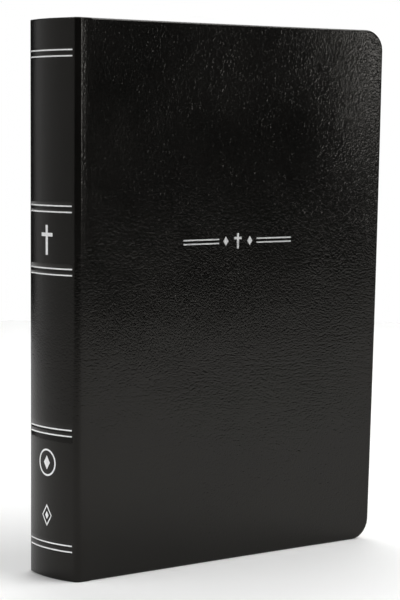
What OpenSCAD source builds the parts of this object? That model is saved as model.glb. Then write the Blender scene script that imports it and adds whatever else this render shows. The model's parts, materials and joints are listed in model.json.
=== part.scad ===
// Bible with a flexible leather-look cover, closed and standing on its tail edge.
// The origin is the middle of the base. +X runs from the spine to the fore-edge,
// the front cover faces -Y and the head of the book is at +Z.

/* [Cover] */
// Height of the cover, from tail to head
cover_h = 244; // [200:1:260]
// Width of each cover, from the spine ridge to the fore-edge
cover_w = 173; // [140:1:185]
// Thickness of the closed book over both covers
book_t = 36; // [33:1:42]
// How far the rounded spine stands out beyond its two ridges
spine_rise = 3.5; // [3:0.5:5]
// Radius of the two corners at the fore-edge of each cover
cover_corner_r = 9.5; // [4:0.5:14]
// Distance from each spine ridge to the crease that the cover bends at
crease_x = 3.8; // [3.6:0.1:5]

/* [Cover layers] */
// Thickness of the leather-look skin
skin_t = 0.8; // [0.6:0.1:1]
// Thickness of the flexible board at its border
board_t = 1; // [0.8:0.1:1.2]
// Thickness of the skin where it is pared and turned in
turn_in_t = 0.2; // [0.15:0.05:0.3]
// Width of the turned-in skin inside each cover
turn_in_w = 15; // [10:1:20]
// Thickness of an endpaper
endpaper_t = 0.2; // [0.1:0.05:0.25]

/* [Book block] */
// Overhang of the cover past the pages at head, tail and fore-edge
square_w = 3.5; // [2:0.5:5]
// Radius of the two corners at the fore-edge of each page
page_corner_r = 8; // [3:0.5:12]
// Signatures in each of the eight thick sections that turn
section_signatures = 4; // [3:1:5]
// Signatures in the fixed middle of the block
center_signatures = 7; // [5:2:9]

/* [Foil] */
// Depth of the stamped recess that holds the foil
stamp_depth = 0.15; // [0.1:0.01:0.2]
// Thickness of the foil at the bottom of the recess
foil_t = 0.05; // [0.03:0.01:0.06]
// Width of the line that the foil rules are drawn with
rule_w = 0.6; // [0.5:0.05:1]

/* [Hidden] */

$fn = 180;
// Clearance between pieces that turn past each other
leaf_gap = 0.05;
// Half of the slit that parts each cover and page from its fixed edge at the crease
hinge_gap = 0.25;
// Overlap that keeps cutting shapes clear of the faces they cut
cut = 1;
// Small overlap that joins solids which would only touch
weld = 0.01;

// The spine ridges, the fore-edge and the crease, measured along X
total_w = cover_w + spine_rise;
fore_x = total_w / 2;
ridge_x = fore_x - cover_w;
hinge_x = ridge_x + crease_x;
half_t = book_t / 2;

// The spine's outer face is an arc through both ridges
spine_r = (half_t * half_t + spine_rise * spine_rise) / (2 * spine_rise);
arc_x = ridge_x - spine_rise + spine_r;
inlay_t = 0.5;
inlay_margin = 2.5;
hollow_t = 0.5;
liner_t = 0.4;
cloth_t = 0.4;
glue_t = 0.5;
inlay_r = spine_r - skin_t;
hollow_r = inlay_r - inlay_t;
liner_r = hollow_r - hollow_t;
cloth_r = liner_r - liner_t;
glue_r = cloth_r - cloth_t;
fold_r = glue_r - glue_t;

// Depths below the outer face of a cover
board_y = skin_t;
turn_in_y = board_y + board_t;
paste_y = turn_in_y + turn_in_t;
case_t = paste_y + endpaper_t;
// The board stops this far past the crease, so that the skin can bend
board_setback = 4;

// The block of pages between the two cases
block_half_t = half_t - case_t - leaf_gap;
page_z = square_w;
page_h = cover_h - 2 * square_w;
outer_signatures = 2;
turning_sections = 4;
side_signatures = outer_signatures + turning_sections * section_signatures;
signature_count = 2 * side_signatures + center_signatures;
signature_pitch = 2 * (block_half_t - endpaper_t) / signature_count;
flange_t = 0.3;

// Middle of signature i, counted from the front cover
function signature_y(i) = (i + 0.5 - signature_count / 2) * signature_pitch;
// Where an arc of radius r about the spine's centre lies at a depth y
function arc_at(r, y) = arc_x - sqrt(r * r - y * y);
// Leaf width that leaves the outer pages one square short of the fore-edge
leaf_w = fore_x - square_w - arc_at(fold_r, block_half_t);

// Foil: heights of the pairs of rules, and sizes of the ornaments
rule_gap = 2.65;
rule_inset = 2.75;
rule_heights = [14.4, 65, 134.8, 162, 228.9];
cross_z = 148.4;
cross_h = 13;
cross_line = 1.6;
ring_z = 51;
ring_r = 6;
ring_line = 0.8;
diamond_z = 27.7;
diamond_h = 9.8;
ornament_x = 4.8;
ornament_z = 146.2;
ornament_w = 63;
ornament_h = 7;

// ---- Shared shapes ----

// A plate standing in the XZ plane from x0 to x1, with round corners at its fore-edge
module plate(x0, x1, z0, h, r, t) {
    translate([0, t, 0])
        rotate([90, 0, 0])
            linear_extrude(t)
                union() {
                    translate([x0, z0]) square([x1 - x0 - r, h]);
                    translate([x0, z0 + r]) square([x1 - x0, h - 2 * r]);
                    translate([x1 - r, z0 + r]) circle(r);
                    translate([x1 - r, z0 + h - r]) circle(r);
                }
}

// Everything outlined in the XZ plane, pushed through from y0 over a length t
module push_y(y0, t) {
    translate([0, y0 + t, 0]) rotate([90, 0, 0]) linear_extrude(t) children();
}

// Everything outlined in the YZ plane, pushed along X through the spine
module push_spine() {
    translate([ridge_x - spine_rise - cut, 0, 0])
        rotate([90, 0, 90])
            linear_extrude(spine_rise + 2 * cut) children();
}

// A band that follows the spine between two radii, over a half width and a height
module spine_band(r_in, r_out, half_w, z0, h) {
    translate([arc_x, 0, z0])
        linear_extrude(h)
            intersection() {
                difference() {
                    circle(r_out);
                    circle(r_in);
                }
                translate([-spine_r - cut, -half_w]) square([spine_r, 2 * half_w]);
            }
}

// ---- Foil outlines, drawn about their own centres ----

module diamond_outline(w, h) {
    polygon([[-w / 2, 0], [0, -h / 2], [w / 2, 0], [0, h / 2]]);
}

module cross_outline(h, line) {
    arm_w = 0.62 * h;
    arm_z = 0.18 * h;
    translate([-line / 2, -h / 2]) square([line, h]);
    translate([-arm_w / 2, arm_z - line / 2]) square([arm_w, line]);
}

module ring_outline() {
    difference() {
        circle(ring_r);
        circle(ring_r - ring_line);
    }
    diamond_outline(4.4, 6.2);
}

module hollow_diamond_outline() {
    inner = 1 - 2.6 * ring_line / diamond_h;
    difference() {
        diamond_outline(0.72 * diamond_h, diamond_h);
        diamond_outline(0.72 * diamond_h * inner, diamond_h * inner);
    }
    diamond_outline(0.26 * diamond_h, 0.36 * diamond_h);
}

// Cross, then a diamond and a pair of tapering rules on each side
module ornament_outline() {
    diamond_w = 3;
    diamond_x = 7;
    rule_start = 11;
    rule_half_gap = 0.9;
    cross_outline(ornament_h, 1.1);
    for (side = [-1, 1]) {
        translate([side * diamond_x, 0]) diamond_outline(diamond_w, 1.4 * diamond_w);
        for (level = [-1, 1])
            translate([side * (rule_start + ornament_w / 2) / 2, level * rule_half_gap])
                square([ornament_w / 2 - rule_start, rule_w], center = true);
    }
}

// ---- Foil and the recesses it lies in: depth is measured in from the outer face ----

module spine_rule_bands(r_in, r_out) {
    for (z = rule_heights)
        for (side = [-1, 1])
            spine_band(r_in, r_out, half_t - rule_inset, z + (side * rule_gap - rule_w) / 2, rule_w);
}

module spine_stamp(r_in, r_out, z) {
    intersection() {
        spine_band(r_in, r_out, half_t - rule_inset, 0, cover_h);
        push_spine() translate([0, z]) children();
    }
}

foil_in_r = spine_r - stamp_depth;
foil_out_r = foil_in_r + foil_t;
stamp_out_r = spine_r + cut / 2;

module front_stamp(depth_in, depth_out) {
    push_y(-half_t + depth_out, depth_in - depth_out)
        translate([ornament_x, ornament_z]) ornament_outline();
}

// ---- Case pieces, made for the back cover at y > 0 and mirrored for the front ----

// Skin of one cover: outer face, wrapped edges and turn-ins, closed but for the crease side
module cover_skin() {
    x0 = hinge_x + hinge_gap;
    difference() {
        translate([0, half_t - paste_y, 0])
            plate(x0, fore_x, 0, cover_h, cover_corner_r, paste_y);
        // Room for the board
        translate([0, half_t - turn_in_y, 0])
            plate(x0 - cut, fore_x - skin_t, skin_t, cover_h - 2 * skin_t,
                  cover_corner_r - skin_t, board_t);
        // Opening between the turn-ins
        push_y(half_t - paste_y - cut, turn_in_t + cut + weld)
            translate([x0 - cut, turn_in_w])
                square([fore_x - turn_in_w - x0 + cut, cover_h - 2 * turn_in_w]);
    }
}

// Board of one cover: full size under the skin, raised by the turn-ins' thickness inside them
module cover_board() {
    x0 = hinge_x + board_setback;
    translate([0, half_t - turn_in_y, 0])
        plate(x0, fore_x - skin_t, skin_t, cover_h - 2 * skin_t, cover_corner_r - skin_t, board_t);
    push_y(half_t - paste_y, turn_in_t + weld)
        translate([x0, turn_in_w])
            square([fore_x - turn_in_w - x0, cover_h - 2 * turn_in_w]);
}

// Endpaper glued over the board and the turn-ins, leaving a margin of skin
module pastedown() {
    translate([0, half_t - case_t, 0])
        plate(hinge_x + hinge_gap, fore_x - square_w, square_w, page_h, page_corner_r, endpaper_t);
}

module flyleaf() {
    translate([0, block_half_t - endpaper_t, 0])
        plate(hinge_x + hinge_gap, fore_x - square_w, page_z, page_h, page_corner_r, endpaper_t);
}

module front_side() {
    mirror([0, 1, 0]) children();
}

// ---- Page pieces ----

// Signature i from x0 to its fore-edge; the block is rounded, so each one is shifted a little
module signature(i, x0) {
    translate([0, signature_y(i) - (signature_pitch - leaf_gap) / 2, 0])
        plate(x0, arc_at(fold_r, signature_y(i)) + leaf_w, page_z, page_h,
              page_corner_r, signature_pitch - leaf_gap);
}

// A run of signatures that turn together past the crease
module turning_pages(first, count) {
    for (i = [first : first + count - 1])
        signature(i, hinge_x + hinge_gap);
}

// A signature's folded edge, starting a little inside the glue
function fold_x(i) = arc_at(fold_r, signature_y(i)) - cut / 2;

// Cut back to the glue's inner face, so that the folds follow the rounded spine
module within_glue() {
    difference() {
        children();
        spine_band(fold_r, fold_r + 2 * cut, block_half_t + cut, page_z - cut, page_h + 2 * cut);
    }
}

// The part of signature i that stays glued in the spine
module fold_back(i) {
    within_glue()
        push_y(signature_y(i) - (signature_pitch - leaf_gap) / 2, signature_pitch - leaf_gap)
            translate([fold_x(i), page_z]) square([hinge_x - hinge_gap - fold_x(i), page_h]);
}

function front_first(section) = outer_signatures + (section - 1) * section_signatures;
function rear_first(section) =
    side_signatures + center_signatures + (section - 1) * section_signatures;

// ---- Spine: fixed body ----

module spine_skin() {
    flange_w = crease_x - hinge_gap;
    color("#211f1d")
        difference() {
            union() {
                // Rounded back with its inner turn-ins and folded ends
                spine_band(inlay_r, spine_r, half_t, 0, cover_h);
                for (z = [0, cover_h - skin_t])
                    spine_band(hollow_r - turn_in_t, spine_r, half_t - inlay_margin, z, skin_t);
                for (z = [0, cover_h - turn_in_w])
                    spine_band(hollow_r - turn_in_t, hollow_r, half_t - inlay_margin, z, turn_in_w);
                // Flat strips from the ridges to the creases
                for (side = [-1, 1])
                    translate([ridge_x, side * (half_t - skin_t / 2) - skin_t / 2, 0])
                        cube([flange_w, skin_t, cover_h]);
            }
            spine_rule_bands(foil_in_r, stamp_out_r);
            spine_stamp(foil_in_r, stamp_out_r, cross_z) cross_outline(cross_h, cross_line);
            spine_stamp(foil_in_r, stamp_out_r, ring_z) ring_outline();
            spine_stamp(foil_in_r, stamp_out_r, diamond_z) hollow_diamond_outline();
        }
}

module spine_inlay() {
    color("#b9a98c")
        spine_band(hollow_r, inlay_r, half_t - inlay_margin, skin_t, cover_h - 2 * skin_t);
}

module spine_foil_rules() {
    color("#d6d8da") spine_rule_bands(foil_in_r, foil_out_r);
}

module spine_foil_cross() {
    color("#d6d8da")
        spine_stamp(foil_in_r, foil_out_r, cross_z) cross_outline(cross_h, cross_line);
}

module spine_foil_ring() {
    color("#d6d8da") spine_stamp(foil_in_r, foil_out_r, ring_z) ring_outline();
}

module spine_foil_diamond() {
    color("#d6d8da") spine_stamp(foil_in_r, foil_out_r, diamond_z) hollow_diamond_outline();
}

module spine_liner() {
    color("#c8b48a") spine_band(cloth_r, liner_r, block_half_t - flange_t, page_z, page_h);
}

// Cloth over the glue, with a short flange along each outer signature
module mull_cloth() {
    flange_y = block_half_t;
    flange_x = arc_at(cloth_r, flange_y + flange_t);
    color("#e8e4d8") {
        spine_band(glue_r, cloth_r, flange_y + flange_t, page_z, page_h);
        for (side = [-1, 1])
            translate([flange_x + cloth_t, side * (flange_y + flange_t / 2) - flange_t / 2, page_z])
                cube([hinge_x - hinge_gap - flange_x - cloth_t, flange_t, page_h]);
    }
}

module spine_glue() {
    color("#e9dfae") spine_band(fold_r, glue_r, block_half_t, page_z, page_h);
}

// Bead of thread round a cord, with a tape glued behind the spine liner
module end_band() {
    bead_r = 0.9;
    tape_h = 10;
    tape_t = 0.25;
    half_w = block_half_t - flange_t;
    bead_ring_r = hollow_r - turn_in_t - leaf_gap - bead_r;
    intersection() {
        translate([arc_x, 0, page_h / 2 + bead_r])
            rotate_extrude()
                translate([bead_ring_r, 0])
                    circle(bead_r, $fn = 48);
        translate([ridge_x - 2 * spine_rise, -half_w, page_h / 2])
            cube([4 * spine_rise, 2 * half_w, 4 * bead_r]);
    }
    spine_band(liner_r, liner_r + tape_t, half_w, page_h / 2 - tape_h, tape_h + bead_r);
}

module headband() {
    color("#8a2f2a") translate([0, 0, cover_h / 2]) end_band();
}

module tailband() {
    color("#8a2f2a") translate([0, 0, cover_h / 2]) mirror([0, 0, 1]) end_band();
}

module signature_folds() {
    color("#efe9d8")
        for (i = [0 : signature_count - 1])
            if (i < side_signatures || i >= side_signatures + center_signatures)
                fold_back(i);
}

module center_pages() {
    color("#efe9d8")
        for (i = [side_signatures : side_signatures + center_signatures - 1])
            within_glue() signature(i, fold_x(i));
}

// ---- Front half ----

module front_cover_skin() {
    color("#1a1918")
        difference() {
            front_side() cover_skin();
            front_stamp(stamp_depth, -cut);
        }
}

module front_cover_board() {
    color("#a58f6d") front_side() cover_board();
}

module front_pastedown() {
    color("#e7dfc8") front_side() pastedown();
}

module front_foil_ornament() {
    color("#c4c6c8") front_stamp(stamp_depth, stamp_depth - foil_t);
}

module front_flyleaf() {
    color("#e7dfc8") front_side() flyleaf();
}

module front_matter_pages() {
    color("#f3eee0") turning_pages(0, outer_signatures);
}

module front_pages(section) {
    color("#efe9d8") turning_pages(front_first(section), section_signatures);
}

// ---- Rear half ----

module rear_pages(section) {
    color("#efe9d8") turning_pages(rear_first(section), section_signatures);
}

module map_pages() {
    color("#f3eee0") turning_pages(signature_count - outer_signatures, outer_signatures);
}

module back_flyleaf() {
    color("#e7dfc8") flyleaf();
}

module back_cover_skin() {
    color("#1a1918") cover_skin();
}

module back_cover_board() {
    color("#a58f6d") cover_board();
}

module back_pastedown() {
    color("#e7dfc8") pastedown();
}

spine_skin();
spine_inlay();
spine_foil_rules();
spine_foil_cross();
spine_foil_ring();
spine_foil_diamond();
spine_liner();
mull_cloth();
spine_glue();
headband();
tailband();
signature_folds();
center_pages();
front_cover_skin();
front_cover_board();
front_pastedown();
front_foil_ornament();
front_flyleaf();
front_matter_pages();
front_pages(1);  // front_pages_1
front_pages(2);  // front_pages_2
front_pages(3);  // front_pages_3
front_pages(4);  // front_pages_4
rear_pages(1);  // rear_pages_1
rear_pages(2);  // rear_pages_2
rear_pages(3);  // rear_pages_3
rear_pages(4);  // rear_pages_4
map_pages();
back_flyleaf();
back_cover_skin();
back_cover_board();
back_pastedown();
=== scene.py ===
"""Looks of a Bible with a flexible leather-look cover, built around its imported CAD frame.

Meshes are worked out in millimetres in the frame's own axes (X from spine to fore-edge, -Y the
front cover, +Z the head of the book) and are turned into metres when they become objects.
"""
import json
import math
import random

import bmesh
import bpy
import numpy as np
from mathutils import Matrix, Vector, noise


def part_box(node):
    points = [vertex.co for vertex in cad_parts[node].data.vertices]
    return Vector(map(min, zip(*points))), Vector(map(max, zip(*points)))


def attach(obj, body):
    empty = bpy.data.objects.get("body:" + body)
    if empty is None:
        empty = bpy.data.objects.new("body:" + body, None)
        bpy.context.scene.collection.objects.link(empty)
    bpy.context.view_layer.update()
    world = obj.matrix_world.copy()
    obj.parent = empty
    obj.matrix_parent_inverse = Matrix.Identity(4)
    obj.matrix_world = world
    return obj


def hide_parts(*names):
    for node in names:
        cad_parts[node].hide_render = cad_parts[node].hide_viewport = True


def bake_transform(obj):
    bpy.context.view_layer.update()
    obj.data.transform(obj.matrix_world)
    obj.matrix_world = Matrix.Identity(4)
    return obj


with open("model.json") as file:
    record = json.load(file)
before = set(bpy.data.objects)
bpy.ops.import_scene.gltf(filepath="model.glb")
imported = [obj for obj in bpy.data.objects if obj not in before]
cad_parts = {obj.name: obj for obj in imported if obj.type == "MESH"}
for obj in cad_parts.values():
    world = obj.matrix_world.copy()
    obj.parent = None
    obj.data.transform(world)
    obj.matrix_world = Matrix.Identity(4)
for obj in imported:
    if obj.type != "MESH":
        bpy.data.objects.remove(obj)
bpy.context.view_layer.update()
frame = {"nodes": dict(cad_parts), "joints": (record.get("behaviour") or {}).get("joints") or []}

MM = 0.001
SEED = 7
rng = random.Random(SEED)


# ---------------------------------------------------------------- sizes from the frame

def box_mm(node):
    """Lowest and highest corner of a CAD node, in millimetres."""
    low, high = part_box(node)
    return np.array(low) / MM, np.array(high) / MM


def joint_mm(name):
    """A point on a joint's axis, in millimetres."""
    found = next(j for j in frame["joints"] if j["name"] == name)
    return np.array(found["pos_m"]) / MM


COVER_LOW, COVER_HIGH = box_mm("back_cover_skin")
PASTE_LOW, PASTE_HIGH = box_mm("back_pastedown")
BOARD_LOW, BOARD_HIGH = box_mm("back_cover_board")
PAGES_LOW, PAGES_HIGH = box_mm("map_pages")
HINGE_X = joint_mm("back_cover_hinge")[0]
HEIGHT = COVER_HIGH[2]
HALF_T = COVER_HIGH[1]
FORE_X = COVER_HIGH[0]
PAGE_Z0 = PAGES_LOW[2]
PAGE_Z1 = PAGES_HIGH[2]

# Cover and spine, as in the CAD
CREASE = 3.8
CORNER_R = 9.5
PAGE_CORNER_R = 8.0
SKIN_T = 0.8
COVER_T = HALF_T - COVER_LOW[1]
TURN_IN_W = 15.0
INLAY_T = 0.5
HOLLOW_T = 0.5
RIDGE_X = HINGE_X - CREASE
SPINE_X = box_mm("spine_skin")[0][0]
SPINE_RISE = RIDGE_X - SPINE_X
SPINE_R = (HALF_T ** 2 + SPINE_RISE ** 2) / (2 * SPINE_RISE)
ARC_X = SPINE_X + SPINE_R
COVER_W = FORE_X - RIDGE_X
LINER_R = SPINE_R - SKIN_T - INLAY_T - HOLLOW_T
RULE_HALF_W = box_mm("spine_foil_rules")[1][1]

# Thickness of the leather turned in on the covers, and of skin, inlay and turn-in at the spine's ends
TURN_IN_T = 0.3
SPINE_END_T = 1.5

# Bending at the crease, and the seam where the spine's leather ends and the cover's begins
BEND_HALF = 1.75
SEAM_GAP = 0.2
SEAM_X = HINGE_X - BEND_HALF - SEAM_GAP

# Soft groove beside the crease, and the rounded ridge
GROOVE_X = RIDGE_X + 2.5
GROOVE_DEPTH = 0.07
GROOVE_W = 1.4
RIDGE_R = 3.6
SHOULDER_X = ARC_X - math.sqrt((SPINE_R - RIDGE_R) ** 2 - (HALF_T - RIDGE_R) ** 2)

FRONT, BACK = -1, 1
SIDE_NAMES = {FRONT: "front", BACK: "back"}

# How far the soft covers lean out at the fore-edge: at the head, at the tail, and the bow between
LEAN = {FRONT: (9.1, 1.9, 0.6), BACK: (2.4, 0.8, 0.3)}
# Share of the lean that curls near the fore-edge
CURL_SHARE = 0.5


def smooth_step(t):
    """Soft rise from 0 to 1 while t goes from 0 to 1."""
    t = np.clip(t, 0, 1)
    return t * t * (3 - 2 * t)


# ---------------------------------------------------------------- mesh helpers

def add_mesh(name, points, faces, materials, face_materials=None, sharp_deg=50):
    """A mesh object from points in mm. Its attribute 'rest' keeps each point's place at rest, in metres."""
    used = sorted({i for f in faces for i in f})
    place = {old: new for new, old in enumerate(used)}
    points = np.asarray(points, float)[used]
    faces = [[place[i] for i in f] for f in faces]
    mesh = bpy.data.meshes.new(name)
    mesh.from_pydata((points * MM).tolist(), [], faces)
    for material in materials:
        mesh.materials.append(material)
    if face_materials is not None:
        mesh.polygons.foreach_set("material_index", face_materials)
    bm = bmesh.new()
    bm.from_mesh(mesh)
    bmesh.ops.recalc_face_normals(bm, faces=bm.faces)
    bm.to_mesh(mesh)
    bm.free()
    mesh.polygons.foreach_set("use_smooth", [True] * len(mesh.polygons))
    mesh.set_sharp_from_angle(angle=math.radians(sharp_deg))
    kept = mesh.attributes.new("rest", "FLOAT_VECTOR", "POINT")
    kept.data.foreach_set("vector", (points * MM).ravel())
    piece = bpy.data.objects.new(name, mesh)
    bpy.context.scene.collection.objects.link(piece)
    return piece


def graded(low, high, step, near_low=(), near_high=()):
    """Values from low to high about a step apart, and closer where distances from an end are given."""
    count = max(1, round((high - low) / step))
    even = np.linspace(low, high, count + 1)
    inner_low = low + (max(near_low) if near_low else 0)
    inner_high = high - (max(near_high) if near_high else 0)
    gap = 0.4 * step
    even = [v for v in even if inner_low + gap < v < inner_high - gap]
    ends = [low, high] + [low + d for d in near_low] + [high - d for d in near_high]
    return np.array(sorted({round(float(v), 4) for v in [*ends, *even]}))


def whole_faces(faces):
    """The faces without corners repeated in a row, and without those that have no area left."""
    kept = []
    for face in faces:
        ring = [int(c) for k, c in enumerate(face) if c != face[k - 1]]
        if len(set(ring)) > 2:
            kept.append(ring)
    return kept


def slab(name, outer, inner, materials, welded=False):
    """A closed mesh between two grids of points, with a wall round the rim.

    'welded' joins the first and the last row of both grids instead of walling them.
    """
    nc, nr = outer.shape[:2]
    top = np.arange(nc * nr).reshape(nc, nr)
    under = top + nc * nr
    if welded:
        under[:, 0], under[:, -1] = top[:, 0], top[:, -1]
    faces = []
    for i in range(nc - 1):
        for j in range(nr - 1):
            faces.append([top[i, j], top[i + 1, j], top[i + 1, j + 1], top[i, j + 1]])
            faces.append([under[i, j], under[i, j + 1], under[i + 1, j + 1], under[i + 1, j]])
    for i in range(nc - 1):
        for j in (0, nr - 1):
            faces.append([top[i, j], under[i, j], under[i + 1, j], top[i + 1, j]])
    for j in range(nr - 1):
        for i in (0, nc - 1):
            faces.append([top[i, j], top[i, j + 1], under[i, j + 1], under[i, j]])
    points = np.concatenate([outer.reshape(-1, 3), inner.reshape(-1, 3)])
    return add_mesh(name, points, whole_faces(faces), materials)


def layered(name, sheets, filled, materials):
    """A closed mesh from sheets of grid points, filled between them in the cells that are marked."""
    nc, nr = sheets[0].shape[:2]
    index = np.arange(nc * nr * len(sheets)).reshape(len(sheets), nc, nr)
    empty = np.zeros_like(filled[0])
    stack = [empty, *filled, empty]
    faces = []
    for level, grid in enumerate(index):
        for i, j in zip(*np.nonzero(stack[level] != stack[level + 1])):
            faces.append([grid[i, j], grid[i + 1, j], grid[i + 1, j + 1], grid[i, j + 1]])
    for level, layer in enumerate(filled):
        upper, lower = index[level], index[level + 1]
        layer = np.pad(layer, 1)
        for i, j in zip(*np.nonzero(layer[1:, 1:-1] != layer[:-1, 1:-1])):
            faces.append([upper[i, j], lower[i, j], lower[i, j + 1], upper[i, j + 1]])
        for i, j in zip(*np.nonzero(layer[1:-1, 1:] != layer[1:-1, :-1])):
            faces.append([upper[i, j], lower[i, j], lower[i + 1, j], upper[i + 1, j]])
    # Points of different sheets that meet become one
    points = np.concatenate([sheet.reshape(-1, 3) for sheet in sheets])
    kept, moved = np.unique(np.round(points, 4), axis=0, return_inverse=True)
    moved = moved.ravel()
    return add_mesh(name, kept, whole_faces([[moved[c] for c in face] for face in faces]), materials)


# ---------------------------------------------------------------- shape of the covers

def groove(x):
    """Depth of the soft groove between ridge and crease."""
    return GROOVE_DEPTH * np.exp(-((x - GROOVE_X) / GROOVE_W) ** 2)


def shoulder(x):
    """Drop of the rounded ridge below the flat of the cover."""
    short = np.clip(SHOULDER_X - x, 0, RIDGE_R)
    return RIDGE_R - np.sqrt(RIDGE_R ** 2 - short ** 2)


def lean(x, z, side):
    """How far a cover stands out from its flat place: it leans, and curls near its fore-edge."""
    head_tip, tail_tip, bow = LEAN[side]
    across = np.clip((x - RIDGE_X) / COVER_W, 0, 1)
    up = z / HEIGHT
    tip = tail_tip + (head_tip - tail_tip) * up + 4 * bow * up * (1 - up)
    started = smooth_step((x - HINGE_X - 1) / 7)
    return started * tip * ((1 - CURL_SHARE) * across ** 2 + CURL_SHARE * across ** 6)


def cover_place(x, z, depth, side):
    """Point of a cover at a depth below its outer face."""
    y = HALF_T - depth - groove(x) - shoulder(x) + lean(x, z, side)
    return np.stack([x, side * y, z], axis=-1)


def inset(x, z, x1, z0, z1, radius):
    """Distance in from the three free edges of a plate with two round corners."""
    d_x = x1 - x
    d_z = np.minimum(z - z0, z1 - z)
    corner = radius - np.hypot(radius - d_x, radius - d_z)
    return np.where((d_x < radius) & (d_z < radius), corner, np.minimum(d_x, d_z))


# Width of the strip in which a plate's columns are squeezed together at its round corners
SQUEEZE_W = 45.0


def plate_grid(x1, z0, z1, radius, columns, rows):
    """Grid of x and z whose columns are squeezed together to follow the round corners at the fore-edge."""
    near = np.minimum(rows - z0, z1 - rows)
    cut = np.where(near < radius, radius - np.sqrt(np.maximum(0, radius ** 2 - (radius - near) ** 2)), 0)
    start = x1 - SQUEEZE_W
    share = np.clip((columns - start) / SQUEEZE_W, 0, 1)
    x = columns[:, None] - share[:, None] * cut[None, :]
    z = np.repeat(rows[None, :], len(columns), axis=0)
    return x, z


def ripple(points, scale, seed):
    """Smooth noise from -1 to 1 at each point in mm."""
    flat = points.reshape(-1, 3)
    values = [noise.noise(Vector((p * scale + seed).tolist())) for p in flat]
    return np.array(values).reshape(points.shape[:-1])


def edge_roll(d, thick):
    """Drop of the outer face where leather of a thickness rolls over, at a distance d from its free edge."""
    roll = thick / 2
    near = np.minimum(d, roll)
    return roll - np.sqrt(np.maximum(0, roll ** 2 - (roll - near) ** 2))


# Steps in from a free edge and out from the seam, close together where the leather rolls or bends
EDGE_STEPS = (0.05, 0.2, 0.44, SKIN_T, 1.0, 1.5, 2.4, 3.6, 5.2, 7.2, 9.5, 12.0, TURN_IN_W)
SEAM_STEPS = (0.03, 0.4, 0.8, 1.2, 1.6, 2.0, 2.5, 3.0, 3.5, 4.0, 4.6, 5.2,
              BOARD_LOW[0] - SEAM_X, 7.0, 8.5, 10.5)
# Small clearance, also used where sizes are compared
CLOSE = 0.01
# Depth, scale and seed of each noise in the skin's soft unevenness
UNEVEN = ((0.10, 0.035, 3.1), (0.035, 0.11, 8.7))
# Pleats at a corner: their depth, and how closely they follow one another round it
PLEAT_DEPTH = 0.12
PLEATS = 7
# A cell of the board's space may reach this near to the edge at a round corner
SPACE_REACH = 0.43


def corner_pleats(x, z, d):
    """Depth of the pleats where the skin is gathered round each corner."""
    in_x = CORNER_R - (FORE_X - x)
    in_z = CORNER_R - np.minimum(z, HEIGHT - z)
    gathered = ((in_x > 0) & (in_z > 0)) * smooth_step(d / 1.5)
    waves = np.abs(np.sin(PLEATS * np.arctan2(in_z, in_x)))
    return gathered * PLEAT_DEPTH * waves * smooth_step(np.hypot(in_x, in_z) / 4)


def board_space(x, d):
    """Cells of a cover's grid that the turn-in leaves open, and all those that make room for the board."""
    corners = np.stack([d[:-1, :-1], d[1:, :-1], d[:-1, 1:], d[1:, 1:]])
    nearest, farthest = corners.min(axis=0), corners.max(axis=0)
    window = nearest > TURN_IN_W - CLOSE
    within_rim = (farthest > SKIN_T + CLOSE) & (nearest > SPACE_REACH)
    return window, window | (within_rim & (x[:-1, :-1] > BOARD_LOW[0] - CLOSE))


def cover_leather(side, material):
    """Leather-look skin of one cover: it goes round the board's edges and is turned in over the board."""
    columns = graded(SEAM_X, FORE_X, 2.2, SEAM_STEPS, EDGE_STEPS)
    rows = graded(0, HEIGHT, 2.4, EDGE_STEPS, EDGE_STEPS)
    x, z = plate_grid(FORE_X, 0, HEIGHT, CORNER_R, columns, rows)
    d = inset(x, z, FORE_X, 0, HEIGHT, CORNER_R)
    # Thin where it bends, full thickness once the board starts
    boarded = smooth_step((x - HINGE_X - BEND_HALF - 0.3) / 2.2)
    thick = SKIN_T + (COVER_T - SKIN_T) * boarded
    rolled = edge_roll(d, thick)
    outer = cover_place(x, z, rolled, side)
    lively = smooth_step(d / 4) * smooth_step((x - HINGE_X - 2) / 6)
    uneven = sum(depth * ripple(outer, scale, seed) for depth, scale, seed in UNEVEN)
    outer[..., 1] += side * lively * uneven
    # Below the outer face: the skin's inner side, the flap's side on the board, and the flap's open side
    flap_in = thick - rolled - corner_pleats(x, z, d)
    skin_in = np.minimum(np.maximum(SKIN_T, rolled), flap_in)
    flap_out = np.maximum(skin_in, np.minimum(thick - TURN_IN_T, flap_in))
    window, space = board_space(x, d)
    sheets = [outer] + [cover_place(x, z, depth, side) for depth in (skin_in, flap_out, flap_in)]
    name = SIDE_NAMES[side]
    piece = layered(f"{name}_leather", sheets, [np.ones_like(window), ~space, ~window], [material])
    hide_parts(f"{name}_cover_skin")
    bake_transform(piece)
    return piece


def spine_path():
    """Outline of the outer face of the spine from one seam to the other, with its normals."""
    centre_r = SPINE_R - RIDGE_R
    fillet_y = HALF_T - RIDGE_R
    end_angle = math.asin(fillet_y / centre_r)
    points, normals = [], []
    for a in np.linspace(0, end_angle, 26):
        normals.append((-math.cos(a), math.sin(a)))
        points.append((ARC_X - SPINE_R * math.cos(a), SPINE_R * math.sin(a)))
    # Round the ridge down to the seam
    x0 = SHOULDER_X - RIDGE_R * math.cos(end_angle)
    lead = math.acos((SHOULDER_X - SEAM_X) / RIDGE_R)
    for a in np.linspace(end_angle, lead, 15)[1:]:
        normals.append((-math.cos(a), math.sin(a)))
        points.append((SHOULDER_X - RIDGE_R * math.cos(a), fillet_y + RIDGE_R * math.sin(a)))
    points, normals = np.array(points), np.array(normals)
    sunk = groove(points[:, 0]) * smooth_step((points[:, 0] - x0) / (SEAM_X - x0))
    points[:, 1] -= sunk
    flip = np.array([1, -1])
    return (np.concatenate([(points * flip)[:0:-1], points]),
            np.concatenate([(normals * flip)[:0:-1], normals]))


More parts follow.
